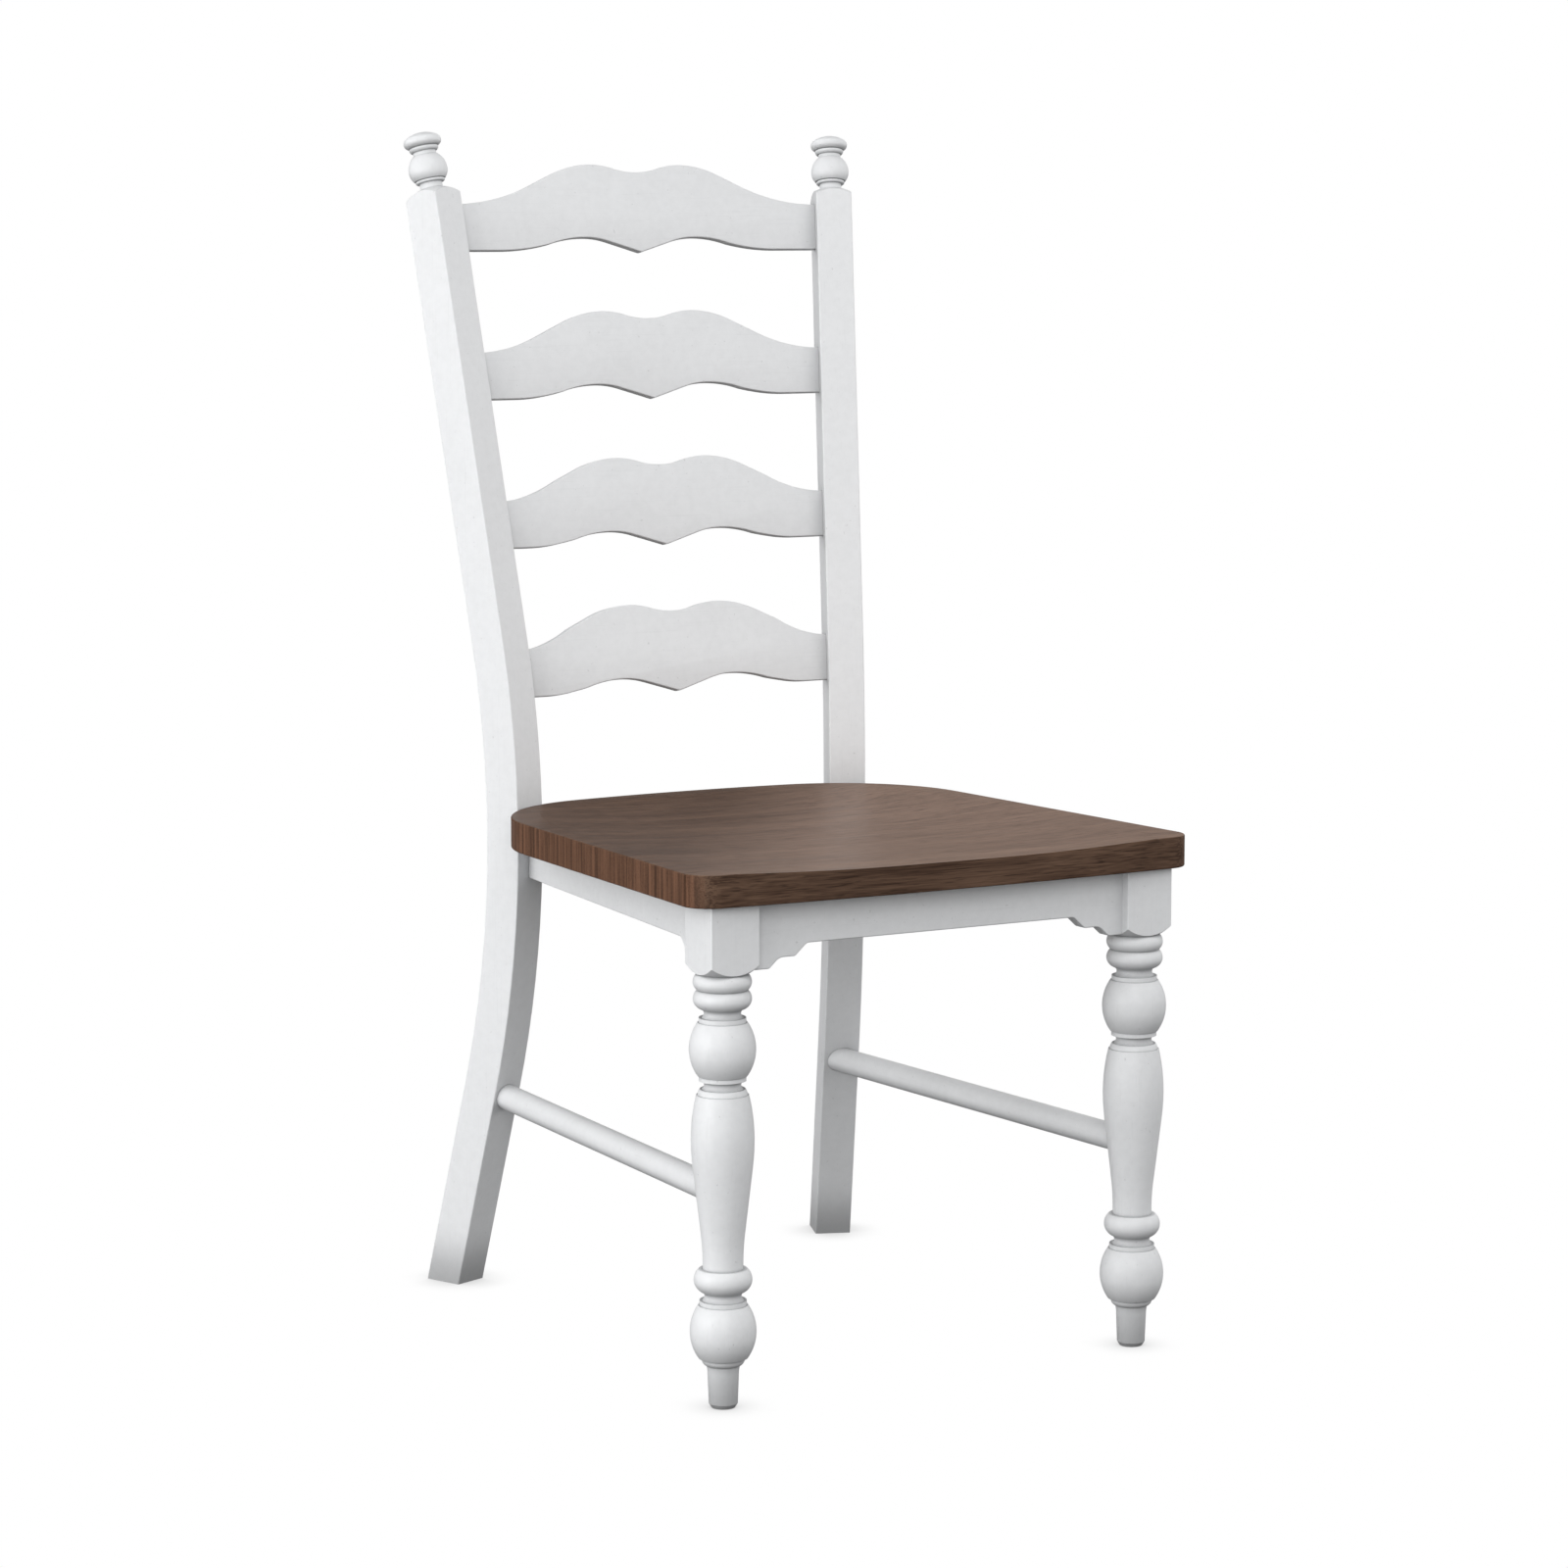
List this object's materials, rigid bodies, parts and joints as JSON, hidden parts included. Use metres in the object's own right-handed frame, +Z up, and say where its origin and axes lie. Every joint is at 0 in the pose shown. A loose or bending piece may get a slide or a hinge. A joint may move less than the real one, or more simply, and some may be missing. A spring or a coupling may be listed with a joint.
{
  "type": "ladderback chair",
  "caption": "Painted ladderback dining chair with shaped slats, turned front legs, bent rear posts with finials, and a stained scooped wooden seat.",
  "frame": {"origin": "on the floor, under the middle of the chair's bounding box", "axes": "+Z up, +Y towards the chair's back, +X towards the chair's right side seen from in front"},
  "size_m": [0.4966, 0.6023, 1.0704],
  "materials": {
    "painted_wood": "satin white paint",
    "stained_wood": "dark brown stain under satin lacquer",
    "bare_wood": "unfinished",
    "screw_steel": "zinc plated"
  },
  "bodies": {
    "root": {"seat": "stained_wood", "front_leg_left": "painted_wood", "front_leg_right": "painted_wood", "rear_post_left": "painted_wood", "rear_post_right": "painted_wood", "finial_left": "painted_wood", "finial_right": "painted_wood", "slat_top": "painted_wood", "slat_upper": "painted_wood", "slat_lower": "painted_wood", "slat_bottom": "painted_wood", "front_rail": "painted_wood", "back_rail": "painted_wood", "side_rail_left": "painted_wood", "side_rail_right": "painted_wood", "stretcher_left": "painted_wood", "stretcher_right": "painted_wood", "front_corner_block_left": "bare_wood", "front_corner_block_right": "bare_wood", "rear_corner_block_left": "bare_wood", "rear_corner_block_right": "bare_wood", "front_rail_dowels": "bare_wood", "back_rail_dowels": "bare_wood", "side_rail_dowels_left": "bare_wood", "side_rail_dowels_right": "bare_wood", "rail_screws": "screw_steel", "seat_screws": "screw_steel"}
  },
  "joints": []
}
